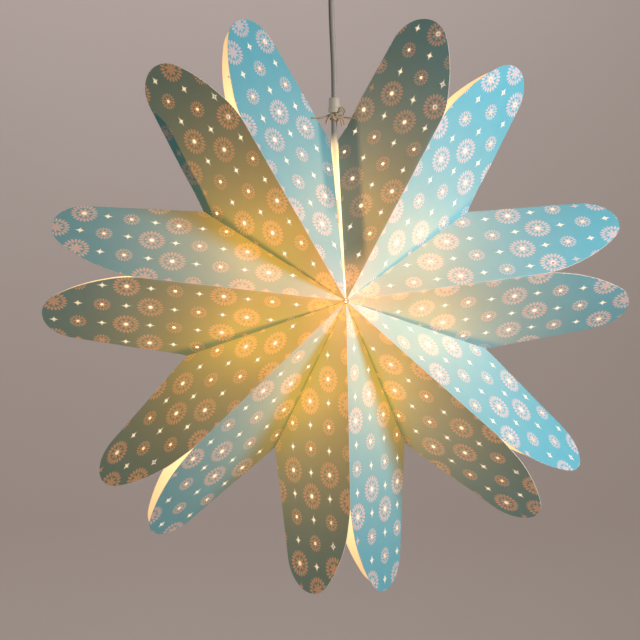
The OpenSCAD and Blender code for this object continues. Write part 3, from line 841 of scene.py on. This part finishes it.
# Bow in front of the cord, in millimetres from the knot: two loops to the right and two ends on each side
bow = (((1, -4.8, -1), (4, -5.6, 3), (7, -5.4, 6.5), (10, -5.2, 4.5), (10.5, -5.6, 0), (6, -6.2, -2.4),
        (1, -5.6, -2.6)),
    ((0, -5.4, -2), (4, -6.4, 1), (8, -6.2, 3.4), (9, -6.2, -1), (4, -6.6, -3.4), (-1, -6, -3)),
    ((0, -4.8, -1), (-3, -5.9, -1), (-6.5, -5.6, -3.6), (-9.6, -5, -9.4)),
    ((0, -5.2, -2), (-4, -6.4, -2.4), (-7.2, -6, -5.4), (-8.6, -5.2, -10.6)),
    ((1, -5, -2), (4.2, -6.2, -3), (6.4, -5.8, -7), (7.6, -5.2, -13.5)),
    ((1, -5, -1), (5.4, -6.6, -2.2), (8.6, -6, -5.6), (9.6, -5.4, -11)))
for run_points in bow:
    strings.append(string([knot + np.array(p) * MM for p in run_points], 1.24))
for rise in (-1.4, -3.2):
    knot_turn = [(2.6 * math.cos(t), -5.8 - 1.1 * math.sin(2 * t), rise + 1.7 * math.sin(t))
        for t in np.linspace(0, math.tau, 28)]
    strings.append(string([knot + MM * np.array(p) for p in knot_turn], 1.2, 0.0006))
points, faces = join(strings)
mesh_piece("tie_string", points, faces, (MATERIALS["twine"],), None, "top_tie", 60)

# Small knots where the points meet: a ring and a bar outside, the same inside, and a string between them
outside, inside_z = HALF_DEPTH + 0.9, HALF_DEPTH - 4.4
for name, node, front in (("string_front", "front_string", 1), ("string_back", "back_string", -1)):
    loops = []
    for z in (outside, inside_z):
        loops.append([(KNOT_R * math.cos(t), KNOT_R * math.sin(t), z) for t in np.linspace(0, math.tau, 24)])
        loops.append([(-KNOT_R, 0, z), (0, 0.3, z + 0.4), (KNOT_R, 0, z)])
    loops.append([(0, 0, inside_z), (0.1, 0, HALF_DEPTH - 2), (0, 0, outside)])
    strings = []
    for loop in loops:
        route = [MM * np.array([STAR_X + p[0], -front * p[2], -STAR_DROP + p[1]]) for p in loop]
        strings.append(string(route, 0.95, 0.0006))
    points, faces = join(strings)
    mesh_piece(name, points, faces, (MATERIALS["twine"],), None, node, 60)


# Studio: a pale sweep of floor and wall, a soft key light from the right and a lit wall
def studio_paper():
    n = Nodes("backdrop", rough=0.9)
    n.set(n.surface, "Base Color", n.mix(n.noise(2.0), (0.79, 0.70, 0.665, 1), (0.82, 0.73, 0.695, 1)))
    return n.material


# Metres from front to wall and from floor to top, with a round sweep between floor and wall
front_y, wall_y, floor_z, top_z, sweep_r, half_width = -4.5, 3.6, -1.6, 3.2, 0.6, 5.0
sweep = [(wall_y - sweep_r + sweep_r * math.sin(t), floor_z + sweep_r - sweep_r * math.cos(t))
    for t in np.linspace(0.1, math.pi / 2, 16)]
profile = [(front_y, floor_z), (wall_y - sweep_r, floor_z)] + sweep + [(wall_y, top_z)]
points = [(x, y, z) for y, z in profile for x in (-half_width, half_width)]
faces = [(2 * k, 2 * k + 1, 2 * k + 3, 2 * k + 2) for k in range(len(profile) - 1)]
mesh = bpy.data.meshes.new("backdrop")
mesh.from_pydata(points, [], faces)
mesh.polygons.foreach_set("use_smooth", [True] * len(faces))
mesh.materials.append(studio_paper())
backdrop = bpy.data.objects.new("backdrop", mesh)
bpy.context.scene.collection.objects.link(backdrop)


def area_light(name, place, aim, size, power, colour=(1, 1, 1)):
    data = bpy.data.lights.new(name, "AREA")
    data.shape = "DISK"
    data.size, data.energy, data.color = size, power, colour
    light = bpy.data.objects.new(name, data)
    bpy.context.scene.collection.objects.link(light)
    light.location = place
    light.rotation_euler = (Vector(aim) - Vector(place)).to_track_quat("-Z", "Y").to_euler()


area_light("key", centre + Vector((0.72, -0.60, 0.24)), centre, 0.26, 6.9, (1.0, 0.96, 0.97))
area_light("wall", (0.0, 1.7, 1.9), (0, 3.6, -0.3), 2.3, 32.5, (1.0, 0.93, 0.97))

world = bpy.data.worlds.new("world")
bpy.context.scene.world = world
world.use_nodes = True
world.node_tree.nodes["Background"].inputs[0].default_value = (1.0, 1.0, 0.80, 1)
world.node_tree.nodes["Background"].inputs[1].default_value = 0.14
